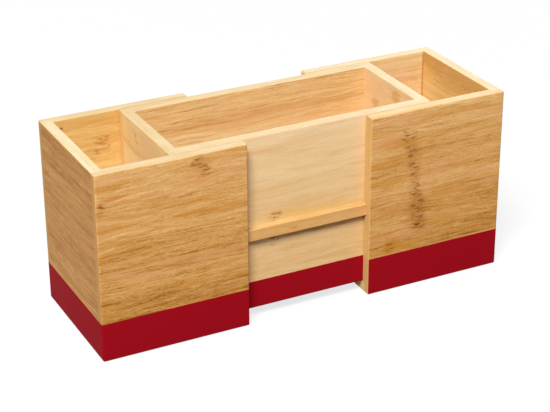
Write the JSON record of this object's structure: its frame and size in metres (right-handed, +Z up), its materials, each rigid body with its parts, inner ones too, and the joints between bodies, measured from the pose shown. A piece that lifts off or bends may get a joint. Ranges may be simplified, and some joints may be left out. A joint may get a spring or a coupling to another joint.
{
  "type": "extending utensil caddy",
  "caption": "Open-topped bamboo caddy: a middle box with end sleeves that draw out along rails to lengthen it and widen its end compartments, with a painted band round the foot.",
  "frame": {"origin": "bottom centre of the caddy drawn right out, on the surface that it stands on", "axes": "+X along its length to the right, +Y from its front to its back, +Z up"},
  "size_m": [0.33, 0.11, 0.145],
  "materials": {
    "bamboo": "flat-pressed bamboo, sanded and clear-coated, satin, pale on its cut edges",
    "dowel_wood": "plain turned wood",
    "red_paint": "matt dark red paint, a band 30 mm high round the foot of the outer faces"
  },
  "bodies": {
    "middle_box": {"middle_front_panel": "bamboo", "middle_back_panel": "bamboo", "middle_left_divider": "bamboo", "middle_right_divider": "bamboo", "middle_floor": "bamboo", "front_slide_rail": "bamboo", "back_slide_rail": "bamboo"},
    "left_sleeve": {"left_front_board": "bamboo", "left_back_board": "bamboo", "left_end_board": "bamboo", "left_floor_board": "bamboo", "left_stop_dowel": "dowel_wood"},
    "right_sleeve": {"right_front_board": "bamboo", "right_back_board": "bamboo", "right_end_board": "bamboo", "right_floor_board": "bamboo", "right_stop_dowel": "dowel_wood"}
  },
  "joints": [
    {"name": "left_slide", "type": "slide", "parent": "middle_box", "child": "left_sleeve", "axis": [-1, 0, 0], "range_m": [-0.0498, 0]},
    {"name": "right_slide", "type": "slide", "parent": "middle_box", "child": "right_sleeve", "axis": [1, 0, 0], "range_m": [-0.0498, 0]}
  ]
}
